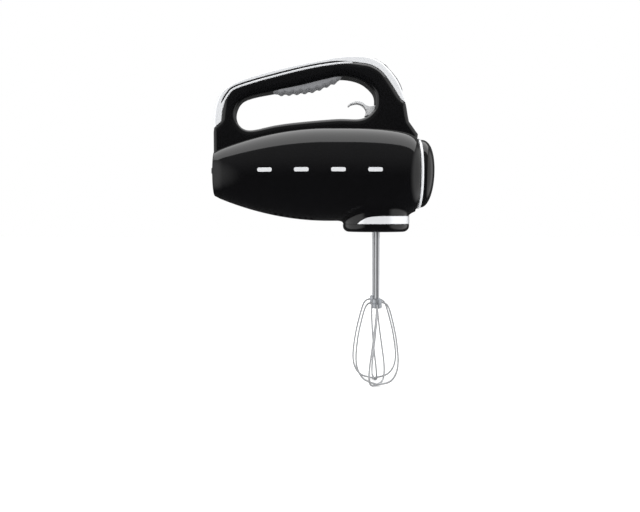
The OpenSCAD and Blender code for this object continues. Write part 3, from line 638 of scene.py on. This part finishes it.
@dataclass
class Handle:
    """Hollow grip that rises from the body, with its chrome trim and its grip pad."""

    plan: tuple[Point2, ...] = ((0, 9.5), (20, 12), (50, 15.3), (90, 17.6), (130, 18), (165, 16.8),
                                (190, 14.5), (206, 12.5))
    full_half: float = 18.0
    trim_outer: tuple[Point2, ...] = (
        (1.5, 44.5), (0.5, 50), (1.5, 61.5), (4.5, 71.5), (10.5, 81.5), (28.5, 92.5), (64.5, 102.5),
        (100.5, 110), (130.5, 115.6), (150, 116.5), (163, 113), (173.5, 106), (184.5, 93.5),
        (189.5, 83), (191.8, 75), (192.9, 70.2))
    trim_inner: tuple[Point2, ...] = (
        (9.5, 51.5), (10.5, 61), (12.5, 70), (17, 77.5), (24, 83.5), (46.5, 90.5), (82.5, 99.5),
        (106.5, 104.5), (130.5, 107.7), (150, 108), (160.5, 105.5), (170, 99), (179.5, 86.5),
        (187.5, 74), (192.2, 70.05))
    front: tuple[Point2, ...] = ((192.9, 69.6), (193.8, 66), (196.3, 52), (199, 46), (204.5, 41.5),
                                 (206, 36.5))
    opening: tuple[Point2, ...] = (
        (23.5, 58.5), (28.5, 70.5), (40.5, 76.5), (64.5, 81.5), (88.5, 86.5), (112.5, 92.5),
        (130.5, 95.5), (148.5, 91.5), (160.5, 81.5), (163, 71.5), (160.5, 61.5), (148.5, 53.8),
        (124.5, 53.5), (88.5, 50.5), (64.5, 47.5), (38, 42.5), (27, 48))
    buried: tuple[Point2, ...] = ((203, 22), (150, 30), (100, 30), (50, 24), (12, 12), (1.7, 14))
    pad_lower: tuple[Point2, ...] = ((57, 77.5), (76.5, 78), (100.5, 81), (118, 87.5), (133.5, 94.5))
    pad_half: float = 13.0
    pad_ribs: int = 10
    rib_steps: int = 10
    rib_depth: float = 1.5
    pad_ends: int = 14
    pad_taper: float = 4.0
    pad_raise: float = 2.2
    pad_sunk: float = 1.2
    trim_steps: int = 150
    trim_round: float = 5.0
    outer_round: float = 5.5
    opening_round: float = 6.0
    opening_steps: int = 220
    window: tuple[Point3, Point3] = ((160, -11.0, 76), (196, 11.0, 122))
    lever_slot: tuple[Point3, Point3] = ((146, -7.3, 48.8), (184, 7.3, 70))
    groove_lift: float = 3.0
    groove_low: float = 66.0
    groove_fade_low: float = 12.0
    groove_front: float = 150.0
    groove_fade_front: float = 28.0
    bead_end: float = 140.0
    bead_low: float = 64.0
    bead_dip: float = 0.9
    bead: Point2 = (0.4, 0.95)
    # Matt black cord in the groove: painted shade, a dark line where the groove's shadow falls
    groove_shade_cord: Point2 = (2.15, 0.85)
    # Black strip along the top of the chrome cover: painted dark reflection on the cover's top edge
    painted_reflection_share: float = 0.69
    painted_reflection_rise: float = -0.05
    painted_reflection_edge: float = 1.2
    painted_reflection_deep: float = 2.5
    painted_reflection_low: float = 56.0
    painted_reflection_front: float = 160.5
    painted_reflection_seat: float = 0.9

    def groove_line(self) -> list[Vector]:
        """Lower edge of the chrome cover, lifted off its seat where the groove and the bead run."""
        line = self.stations(self.trim_inner)
        lifted = []
        for i, p in enumerate(line):
            above = (p.y - self.groove_low) / self.groove_fade_low
            behind = (self.groove_front - p.x) / self.groove_fade_front
            rise = min(1.0, max(0.0, above)) * min(1.0, max(0.0, behind))
            lifted.append(p + left_of(line, i) * self.groove_lift * rise)
        return lifted

    def stations(self, edge: Sequence[Point2]) -> list[Vector]:
        """Evenly spaced points along one edge of the trim, as many on each."""
        return even(open_curve(edge, 8), self.trim_steps)

    def half_at(self, x: float) -> float:
        """Half width of the handle at a place along the body."""
        return table_value(self.plan, x)

    def widen(self, proud: float = 0.0) -> Callable[[Vector], Vector]:
        """Rule that gives a plate of full width the handle's own width at each place."""
        return lambda p: Vector((p.x, p.y / self.full_half * (self.half_at(p.x) + proud), p.z))

    def outline(self) -> list[Point2]:
        """Outer edge of the black moulding, from the rear foot over the top and back below."""
        top = [tuple(p) for p in self.groove_line()]
        return [(1.6, 44.6), (8.6, 50.8), *top, *open_curve(self.front, 5), *open_curve(self.buried, 4)]

    def shell(self) -> None:
        """Makes the black moulding with the lever's slot."""
        piece = Piece("handle_shell")
        inner = even(ring_curve(self.opening, 8), self.opening_steps, closed=True)
        outer = self.facing(inner, [Vector(p) for p in self.outline()])
        piece.slab([tuple(p) for p in outer], [tuple(p) for p in inner], self.full_half, closed=True)
        near = {(round(p.x, 3), round(p.y, 3)) for p in inner}
        rims = [e for e in piece.bm.edges
                if abs(e.verts[0].co.y - e.verts[1].co.y) < 1e-6 and len(e.link_faces) == 2
                and e.calc_face_angle(0.0) > 1]
        loop_rims = [e for e in rims
                     if all((round(v.co.x, 3), round(v.co.z, 3)) in near for v in e.verts)]
        outer_rims = [e for e in rims if e not in set(loop_rims)]
        piece.bevel(outer_rims, self.outer_round, 8)
        loop_rims = [e for e in loop_rims if e.is_valid]
        piece.bevel(loop_rims, self.opening_round, 8)
        piece.reshape(self.widen())
        slot = Piece("slot")
        slot.block(*self.lever_slot, 1.0, 3)
        piece.finish(LOOKS["black_shell"], "housing", ["handle_housing"], holes=[slot])

    def facing(self, inner: Sequence[Vector], outline: Sequence[Vector]) -> list[Vector]:
        """For each point of the opening, the point of the outline that it faces.

        Args:
            inner: Points round the opening.
            outline: Corners of the closed outer edge.

        Returns:
            As many points on the outline, in the same order.
        """
        found = []
        sides = list(zip(outline, [*outline[1:], outline[0]]))
        for i, point in enumerate(inner):
            along = inner[(i + 1) % len(inner)] - inner[i - 1]
            # The opening runs clockwise, so its outside is to the left
            way = Vector((-along.y, along.x)).normalized()
            best = None
            for a, b in sides:
                edge = b - a
                det = way.x * -edge.y + edge.x * way.y
                if abs(det) < 1e-9:
                    continue
                gap = a - point
                far = (gap.x * -edge.y + edge.x * gap.y) / det
                share = (way.x * gap.y - way.y * gap.x) / det
                if far > 0 and 0 <= share <= 1 and (best is None or far < best):
                    best = far
            found.append(point + way * (best or 10))
        return found

    def trim(self) -> None:
        """Makes the chrome cover over the top, which leaves the control panel's window open."""
        piece = Piece("top_trim_cover")
        loops = []
        for top, low in zip(self.stations(self.trim_outer), self.groove_line()):
            # The cover stops short of its top line by the seat, to make room for the black strip of
            # painted dark reflection
            deep = max(0.5, (top - low).length - self.painted_reflection_seat)
            up, full = (top - low).normalized(), self.full_half
            r = min(self.trim_round, 0.45 * deep)
            arc = [(full - r + r * math.cos(a), deep - r + r * math.sin(a))
                   for a in (math.pi / 2 * k / 8 for k in range(9))]
            section = [(full, 0.0), *arc, *[(-y, h) for y, h in arc[::-1]], (-full, 0.0)]
            loops.append([(low.x + up.x * h, y, low.y + up.y * h) for y, h in section])
        piece.loft(loops)
        piece.outward()
        piece.reshape(self.widen(0.25))
        window = Piece("window")
        window.block(*self.window, 0.6, 2)
        piece.finish(LOOKS["chrome_trim"], "housing", ["top_trim"], holes=[window])

    def along_groove(self, name: str, lift: float, radius: float, look: Look) -> None:
        """Makes a thin cord that runs in the groove under the trim, on both sides.

        Args:
            name: Name of the piece.
            lift: Its height over the trim's seat.
            radius: Its radius.
            look: What it is made of.
        """
        piece = Piece(name)
        line = self.stations(self.trim_inner)
        run = [i for i, p in enumerate(line) if p.x < self.bead_end and p.y > self.bead_low]
        for side in (-1, 1):
            path = []
            for i in run:
                seat = line[i] + left_of(line, i) * lift
                # It dips into the black moulding at both ends
                ends = max(0.0, 1 - (run[-1] - i) / 25, 1 - (i - run[0]) / 8)
                y = self.half_at(seat.x) + 0.05 - radius * 0.2 - self.bead_dip * ends**2
                path.append(Vector((seat.x, side * y, seat.y)))
            piece.tube(path, radius, 12)
        piece.outward()
        piece.finish(look, "housing", flat_sides=False)

    def painted_reflection(self) -> None:
        """Makes the black strip that runs along the top of the chrome cover, as far as the panel: a
        painted dark reflection on the cover's top edge.
        """
        piece = Piece("top_painted_reflection")
        line = [p for p in self.stations(self.trim_outer)
                if p.y > self.painted_reflection_low and p.x < self.painted_reflection_front]
        loops = []
        for i, p in enumerate(line):
            out = left_of(line, i)
            fade = min(1.0, i / 6)
            half = self.painted_reflection_share * self.half_at(p.x) * (0.55 + 0.45 * fade)
            section = []
            for k in range(13):
                a = math.pi * k / 12
                h = -self.painted_reflection_edge + (self.painted_reflection_rise + self.painted_reflection_edge) * fade * math.sin(a) ** 0.5
                section.append((half * math.cos(a), h))
            section += [(-half, -self.painted_reflection_deep), (half, -self.painted_reflection_deep)]
            loops.append([(p.x + out.x * h, y, p.y + out.y * h) for y, h in section])
        piece.loft(loops)
        piece.outward()
        piece.finish(LOOKS["black_shell"], "housing", crease=50, flat_sides=False)

    def pad(self) -> None:
        """Makes the ribbed pad that the fingers close on."""
        piece = Piece("finger_pad")
        lower = even(open_curve(self.pad_lower, 12), self.pad_ribs * self.rib_steps + 1)
        roof = open_curve(self.opening[2:8], 12)
        loops = []
        for i, p in enumerate(lower):
            top = min(roof, key=lambda q: abs(q[0] - p.x))[1] + self.pad_sunk
            wave = 0.5 - 0.5 * math.cos(2 * math.pi * i / self.rib_steps)
            fade = min(1.0, i / self.pad_ends, (len(lower) - 1 - i) / self.pad_ends)
            hang = self.rib_depth * wave * fade - self.pad_taper * (1 - fade) ** 2
            low = min(p.y + self.pad_raise - hang, top - 0.6)
            half = self.pad_half - (1 - fade) * 3
            loops.append(self.pad_section(p.x, low, top, half))
        piece.loft(loops)
        piece.outward()
        piece.finish(LOOKS["grip_rubber"], "housing", ["grip_pad"], crease=50, flat_sides=False)

    def pad_section(self, x: float, low: float, top: float, half: float) -> list[tuple[float, ...]]:
        """Section of the pad: flat above, and rounded up at both sides."""
        rise = min(3.5, (top - low) * 0.8)
        under = []
        for k in range(17):
            a = math.pi * k / 16
            u = math.cos(a)
            y = half * math.copysign(abs(u) ** 0.55, u)
            under.append((x, y, low + rise * (1 - math.sin(a) ** 0.8)))
        return [*under, (x, -half, top), (x, -half / 2, top), (x, half / 2, top), (x, half, top)]

    def build(self) -> None:
        """Builds the handle's pieces, which stay out of the gloss of the body just below them."""
        self.shell()
        self.trim()
        self.along_groove("trim_bead", *self.bead, LOOKS["chrome_trim"])
        # Painted shade: a matt black cord lies in the groove where there is only its shadow line
        self.along_groove("trim_groove_shade_cord", *self.groove_shade_cord, LOOKS["rubber_black"])
        # Black strip along the top of the cover: painted dark reflection
        self.painted_reflection()
        self.pad()
        for name in ("handle_shell", "top_trim_cover", "trim_bead", "trim_groove_shade_cord", "top_painted_reflection",
                     "finger_pad"):
            bpy.data.objects[name].visible_glossy = False


@dataclass
class Nose:
    """Chrome ring and domed cap on the front of the body."""

    front: float = 206.0
    ring_radius: float = 35.2
    ring_depth: float = 3.5
    dome_radius: float = 34.0
    dome_rise: float = 13.0
    tip_lift: float = 3.5

    def build(self) -> None:
        """Builds the ring and the cap."""
        ring = Piece("nose_ring_band")
        x0, x1, r = self.front, self.front + self.ring_depth, self.ring_radius
        section = [(x0, r - 5.5), (x0, r - 0.7), (x0 + 0.25, r - 0.2), (x0 + 0.8, r)]
        section += [(x0 + 0.8 + 1.7 * k / 5, r - 0.9 * (k / 5) ** 2) for k in range(1, 6)]
        section += [(x1 - 0.7, r - 1.3), (x1 - 0.7, r - 5.5)]
        ring.turn(section, "x", (0, 0, 0), 144, closed=True)
        ring.finish(LOOKS["chrome_trim"], "housing", ["nose_ring"], flat_sides=False)
        cap = Piece("nose_dome")
        rise, rim = self.dome_rise, self.dome_radius
        lap = x1 - 1.1
        profile = [(x1 - 3.2, 0.0), (x1 - 3.2, rim - 4.5), (lap, rim - 4.5), (lap, rim - 0.2),
                   (lap + 0.3, rim), (x1, rim)]
        for k in range(1, 25):
            a = math.pi / 2 * k / 24
            profile.append((x1 + 0.3 + (rise - 0.3) * math.sin(a) ** 0.96, rim * math.cos(a) ** 0.86))
        profile[-1] = (x1 + rise, 0.0)
        cap.turn(profile, "x", (0, 0, 0), 144)
        cap.reshape(lambda p: p + Vector((0, 0, self.tip_lift * max(0.0, (p.x - x1) / rise) ** 2)))
        cap.finish(LOOKS["black_shell"], "housing", ["nose_cap"], flat_sides=False)


@dataclass
class Collar:
    """Bright crescent band and rounded cap under the collar."""

    x: float = 164.5
    radius: float = 33.25
    top_of_cap: float = -50.5
    bottom: float = -58.5
    rim: float = 6.0
    socket_y: float = 18.0
    socket_radius: float = 6.5

    def band(self, line: Sequence[Point2]) -> None:
        """Makes the bright band, which narrows to a point at each side.

        Args:
            line: Upper edge of the band in side view, as (x, z).
        """
        piece = Piece("crescent_band")
        limit = math.acos((144.15 - self.x) / self.radius)
        loops = []
        for k in range(121):
            a = -limit + 2 * limit * k / 120
            x = self.x + self.radius * math.cos(a)
            top = max(table_value(line, x), self.top_of_cap + 0.03)
            low, tall = self.top_of_cap, top - self.top_of_cap
            soft = min(0.35, tall / 3)
            section = [(-2.2, low), (0.0, low), (0.3, low + soft), (0.38, low + tall / 2),
                       (0.3, top - soft), (0.0, top), (-2.2, top)]
            loops.append([(self.x + (self.radius + d) * math.cos(a), (self.radius + d) * math.sin(a), z)
                          for d, z in section])
        piece.loft(loops)
        piece.outward()
        piece.finish(LOOKS["chrome_trim"], "housing", ["collar_band"], flat_sides=False)

    def cap(self) -> None:
        """Makes the rounded cap with its two sockets."""
        piece = Piece("collar_base")
        r, z0, z1 = self.radius + 0.15, self.bottom, self.top_of_cap
        arc = [(z0 + self.rim * (1 - math.sin(a)), r - self.rim * (1 - math.cos(a)))
               for a in (math.pi / 2 * k / 12 for k in range(13))]
        profile = [(z1 - 0.5, 0.0), (z1 - 0.5, r - 3), (z1, r - 3), (z1, r - 0.4), (z1 - 0.4, r), *arc,
                   (z0 - 0.0, 0.0)]
        piece.turn(profile, "z", (self.x, 0, 0), 144)
        holes = []
        for side in (-1, 1):
            hole = Piece("socket")
            hole.turn([(z0 - 5, 0.0), (z0 - 5, self.socket_radius), (z1 + 5, self.socket_radius),
                       (z1 + 5, 0.0)], "z", (self.x, side * self.socket_y, 0), 48)
            holes.append(hole)
        piece.finish(LOOKS["black_shell"], "housing", ["collar_cap"], holes=holes)


@dataclass
class EjectLever:
    """Chrome hook inside the handle's opening that pushes the whisks out."""

    half: float = 6.5
    upper: tuple[Point2, ...] = ((135.7, 67.6), (138.2, 70.3), (144.7, 72.0), (150.2, 70.9),
                                 (154.6, 67.9), (158.0, 66.9))
    lower: tuple[Point2, ...] = ((136.6, 66.9), (139.2, 68.9), (144.7, 69.9), (149.6, 68.6),
                                 (153.0, 65.2), (154.2, 61.4), (152.6, 57.2))
    arm_top: tuple[Point2, ...] = ((158.0, 66.9), (163.0, 68.0), (178.0, 69.0), (181.0, 67.5))
    arm_under: tuple[Point2, ...] = ((152.6, 57.2), (162.0, 59.1), (164.5, 57.5), (166.5, 58.5),
                                     (168.0, 63.5), (181.0, 64.0))

    def build(self) -> None:
        """Builds the hook as one bevelled casting."""
        piece = Piece("hook_lever")
        upper = [*even(open_curve(self.upper, 8), 48), *even(self.arm_top, 17)[1:]]
        lower = [*even(open_curve(self.lower, 8), 48), *even(self.arm_under, 17)[1:]]
        piece.slab([tuple(p) for p in upper], [tuple(p) for p in lower], self.half, closed=False)
        rims = [e for e in piece.bm.edges if abs(e.verts[0].co.y - e.verts[1].co.y) < 1e-6
                and len(e.link_faces) == 2 and e.calc_face_angle(0.0) > 1]
        piece.bevel(rims, 0.45, 3)
        piece.finish(LOOKS["lever_chrome"], "lever", ["eject_lever"]).visible_glossy = False


@dataclass
class Fittings:
    """Small outside parts: badge bars and heel bar."""

    bar_x: tuple[float, ...] = (47.0, 82.5, 118.0, 153.5)
    bar_length: float = 14.0
    bar_low: float = 0.0
    bar_high: float = 4.0
    proud: float = 0.6

    def bars(self, main_body: MainBody) -> None:
        """Makes four plain bars on each side of the body."""
        for side, name in ((-1, "right"), (1, "left")):
            piece = Piece(f"badge_bars_{name}_polished")
            for x in self.bar_x:
                made = piece.block((x, -2.0, self.bar_low),
                                   (x + self.bar_length, self.proud, self.bar_high))
                faces = {f for v in made for f in v.link_faces}
                upright = [e for f in faces for e in f.edges
                           if abs(e.verts[0].co.y - e.verts[1].co.y) > 1]
                piece.bevel(list(set(upright)), 1.6, 5)
            front = [e for e in piece.bm.edges
                     if all(abs(v.co.y - self.proud) < 1e-4 for v in e.verts)]
            piece.bevel(front, 0.35, 3)
            piece.reshape(lambda p, s=side: Vector((p.x, s * (main_body.radius_at(p.x) + p.y), p.z)))
            piece.outward()
            piece.finish(LOOKS["chrome_trim"], "housing", [f"badge_bars_{name}"])

    def heel(self) -> None:
        """Makes the rubber bar that the mixer rests on."""
        low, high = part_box("heel_bar")
        bar = Piece("heel_bar_moulded")
        bar.block([c / MM for c in low], [c / MM for c in high], 1.0, 4)
        bar.finish(LOOKS["rubber_black"], "housing", ["heel_bar"])

    def build(self, main_body: MainBody) -> None:
        """Builds the fittings."""
        self.bars(main_body)
        self.heel()


@dataclass
class Whisk:
    """One whisk: shaft, hub and two bent wires that cross at its foot."""

    side: int
    top: float = -18.0
    shaft_radius: float = 2.5
    stop: tuple[Point2, ...] = ((-58.4, 2.5), (-58.3, 3.8), (-58.0, 4.0), (-56.8, 4.0), (-56.5, 3.8),
                                (-56.4, 2.5))
    shaft_end: float = -133.5
    hub_radius: float = 4.8
    hub_top: float = -124.5
    hub_bottom: float = -134.5
    exit_z: float = -128.5
    cage: float = 22.0
    wire: float = 0.95
    wire_step: float = 2.4
    bottom: float = -211.0

    @property
    def name(self) -> str:
        """Which whisk it is."""
        return "left" if self.side > 0 else "right"

    def centre(self) -> Vector:
        """Middle of the shaft, from the CAD model's box, in millimetres."""
        low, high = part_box(f"whisk_shaft_{self.name}")
        return Vector(((low.x + high.x) / 2 / MM, (low.y + high.y) / 2 / MM, 0))

    def half_loop(self, k: int) -> list[tuple[float, ...]]:
        """Half of a wire in its own plane, from the hub to the foot, as (radius, z)."""
        z, r = self.exit_z, self.cage
        points = [(self.hub_radius - 1.4, z), (8.5, z - 1.2), (12, z - 6), (16, z - 20),
                  (0.89 * r, -165), (r, -185), (0.93 * r, -198), (0.62 * r, -207.1),
                  (0, self.bottom + 2.28 * k)]
        return open_curve(points, 8)

    def turn_at(self, k: int, z: float) -> float:
        """Direction of a wire's plane at a height, in radians."""
        share = (self.exit_z - z) / 56.5
        start, twist = (-19, 17) if self.side > 0 else (-5, -17)
        return math.radians(start + twist * share + 90 * k)

    def wires(self, centre: Vector) -> None:
        """Makes the two wires."""
        piece = Piece(f"wires_{self.name}")
        for k in (0, 1):
            half = self.half_loop(k)
            flat = [(-r, z) for r, z in half] + [(r, z) for r, z in half[-2::-1]]
            path = []
            for r, z in flat:
                a = self.turn_at(k, z)
                under = self.wire_step * self.wire * k
                path.append(centre + Vector((r * math.cos(a), r * math.sin(a), z - under)))
            smooth = even([tuple(p) for p in path], 130)
            piece.tube(smooth, self.wire, 12)
        piece.outward()
        piece.finish(LOOKS["stainless_wire"], f"{self.name}_whisk", [f"whisk_wires_{self.name}"],
                     flat_sides=False)

    def shaft(self, centre: Vector) -> None:
        """Makes the shaft with its stop collar."""
        piece = Piece(f"shaft_{self.name}")
        r = self.shaft_radius
        profile = [(self.shaft_end, 0.0), (self.shaft_end, r), *self.stop, (self.top - 0.5, r),
                   (self.top, r - 0.5), (self.top, 0.0)]
        piece.turn(profile, "z", centre, 40)
        piece.finish(LOOKS["ground_steel"], f"{self.name}_whisk", [f"whisk_shaft_{self.name}"],
                     flat_sides=False)

    def hub(self, centre: Vector) -> None:
        """Makes the turned hub, with a groove where the upper wire passes."""
        piece = Piece(f"hub_{self.name}")
        r, top, low = self.hub_radius, self.hub_top, self.hub_bottom
        profile = [(low, 0.0), (low, r - 0.9), (low + 0.25, r - 0.35), (low + 0.9, r), (low + 4.2, r),
                   (low + 4.6, r - 0.5), (low + 5.2, r - 0.5), (low + 5.6, r), (top - 1.6, r),
                   (top - 0.8, r - 0.3), (top - 0.2, r - 1.0), (top, r - 1.6), (top, 0.0)]
        piece.turn(profile, "z", centre, 48)
        piece.finish(LOOKS["plated_steel"], f"{self.name}_whisk", [f"whisk_hub_{self.name}"],
                     flat_sides=False)

    def build(self) -> None:
        """Builds the whisk's pieces."""
        centre = self.centre()
        self.wires(centre)
        self.shaft(centre)
        self.hub(centre)


# ---------------------------------------------------------------- carried-over nodes


def dress_nodes(record: dict) -> None:
    """Gives every CAD node that still shows the material of its slot.

    Args:
        record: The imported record, whose sub-parts name their material slots.
    """
    for part in record["subparts"]:
        name, slot = part["node"], part["material_slot"]
        obj = frame["nodes"].get(name)
        if obj is None or obj.hide_render:
            continue
        obj.data.materials.clear()
        obj.data.materials.append(LOOKS[slot].material())
        # The body mustn't mirror what the handle hides
        obj.visible_glossy = False
        LOG.info("%s: dressed as %s", name, slot)


# ---------------------------------------------------------------- studio


@dataclass
class Studio:
    """Pale floor, soft light and camera, with the camera in millimetres and the light in metres."""

    camera_x: float = 98.0
    camera_z: float = -43.0
    distance: float = 889.0
    aim_x: float = 107.9
    aim_z: float = -83.1
    lens: float = 49.4
    low_wall: float = 0.05
    high_wall: float = 0.22
    end_wall: float = 0.9
    fill: float = 1.4
    light_at: Point3 = (0.1, 0.31, 0.80)
    light_size: Point2 = (1.8, 0.98)
    light_power: float = 9.0

    def floor(self) -> None:
        """Makes a wide pale floor just under the object's lowest point."""
        low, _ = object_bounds()
        bm = bmesh.new()
        bmesh.ops.create_grid(bm, x_segments=1, y_segments=1, size=6.0)
        bmesh.ops.translate(bm, verts=bm.verts[:], vec=(0, 0, low.z - 0.0005))
        mesh = bpy.data.meshes.new("studio_floor")
        bm.to_mesh(mesh)
        bm.free()
        obj = bpy.data.objects.new("studio_floor", mesh)
        bpy.context.scene.collection.objects.link(obj)
        material = bpy.data.materials.new("matt_white_paint")
        material.use_nodes = True
        tree = material.node_tree
        tree.nodes.clear()
        place = add(tree, "TexCoord").outputs["Object"]
        drift = add(tree, "TexNoise", {"Scale": 3.0}, {"Vector": place}).outputs["Fac"]
        tint = add(tree, "Mix", {6: linear("#FBFBFB"), 7: linear("#F6F6F6")}, {0: drift},
                   data_type="RGBA").outputs[2]
        shader = add(tree, "BsdfPrincipled", {"Roughness": 0.9}, {"Base Color": tint})
        add(tree, "OutputMaterial", links={"Surface": shader.outputs["BSDF"]})
        mesh.materials.append(material)
        # The mixer would stand between black screens, so its gloss doesn't show the floor
        obj.visible_glossy = False
        obj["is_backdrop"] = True

    def overhead_light(self) -> None:
        """Adds the wide soft light that faces straight down."""
        data = bpy.data.lights.new("overhead", "AREA")
        data.shape, data.energy = "RECTANGLE", self.light_power
        data.size, data.size_y = self.light_size
        obj = bpy.data.objects.new("overhead", data)
        obj.location = self.light_at
        obj.rotation_euler = Vector((0, 0, -1)).to_track_quat("-Z", "Y").to_euler()
        bpy.context.scene.collection.objects.link(obj)

    def surroundings(self) -> None:
        """Makes a white room in which polished pieces mirror dark walls, as between black screens."""
        world = bpy.data.worlds.new("white_room")
        world.use_nodes = True
        tree = world.node_tree
        tree.nodes.clear()
        lit = add(tree, "Background", {"Color": (1, 1, 1, 1), "Strength": 1.0})
        way = add(tree, "TexCoord").outputs["Generated"]
        parts = add(tree, "SeparateXYZ", links={"Vector": way}).outputs
        level = add(tree, "MapRange", {"From Min": -0.2, "From Max": 0.9, "To Min": self.low_wall,
                                       "To Max": self.high_wall},
                    {"Value": parts["Z"]}, interpolation_type="SMOOTHSTEP").outputs["Result"]
        # Pale walls at both ends, which show as upright stripes on shafts and wires
        along = add(tree, "Math", links={0: parts["X"]}, operation="ABSOLUTE").outputs[0]
        ends = add(tree, "MapRange", {"From Min": 0.6, "From Max": 0.85, "To Min": 0.0,
                                      "To Max": self.end_wall},
                   {"Value": along}, interpolation_type="SMOOTHSTEP").outputs["Result"]
        both = add(tree, "Math", links={0: level, 1: ends}, operation="MAXIMUM").outputs[0]
        walls = add(tree, "Background", {"Color": (1, 1, 1, 1)}, {"Strength": both})
        path = add(tree, "LightPath").outputs
        fill = add(tree, "Background", {"Color": (1, 1, 1, 1), "Strength": self.fill})
        soft = add(tree, "MixShader", links={0: path["Is Diffuse Ray"], 1: lit.outputs[0],
                                             2: fill.outputs[0]})
        mix = add(tree, "MixShader", links={0: path["Is Glossy Ray"], 1: soft.outputs[0],
                                            2: walls.outputs[0]})
        add(tree, "OutputWorld", links={"Surface": mix.outputs[0]})
        bpy.context.scene.world = world

    def camera(self) -> None:
        """Places the camera at the side of the mixer, a little under its axis."""
        data = bpy.data.cameras.new("camera")
        data.lens, data.sensor_width = self.lens, 36.0
        data.clip_start, data.clip_end = 0.05, 50.0
        obj = bpy.data.objects.new("camera", data)
        obj.location = Vector((self.camera_x, -self.distance, self.camera_z)) * MM
        aim = Vector((self.aim_x, 0, self.aim_z)) * MM
        obj.rotation_euler = (aim - obj.location).to_track_quat("-Z", "Y").to_euler()
        bpy.context.scene.collection.objects.link(obj)
        bpy.context.scene.camera = obj

    def build(self) -> None:
        """Builds the studio."""
        self.floor()
        self.surroundings()
        self.overhead_light()
        self.camera()


def main() -> None:
    """Builds every piece, dresses the rest and sets up the studio."""
    logging.basicConfig(level=logging.INFO, format="%(message)s")
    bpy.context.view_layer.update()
    bpy.context.scene.view_settings.view_transform = "Standard"
    body = MainBody()
    body.build()
    Handle().build()
    Nose().build()
    collar = Collar()
    collar.band(body.band_line)
    collar.cap()
    EjectLever().build()
    Fittings().build(body)
    for side in (-1, 1):
        Whisk(side).build()
    dress_nodes(frame["record"])
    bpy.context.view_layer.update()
    Studio().build()


if __name__ == "__main__":
    main()
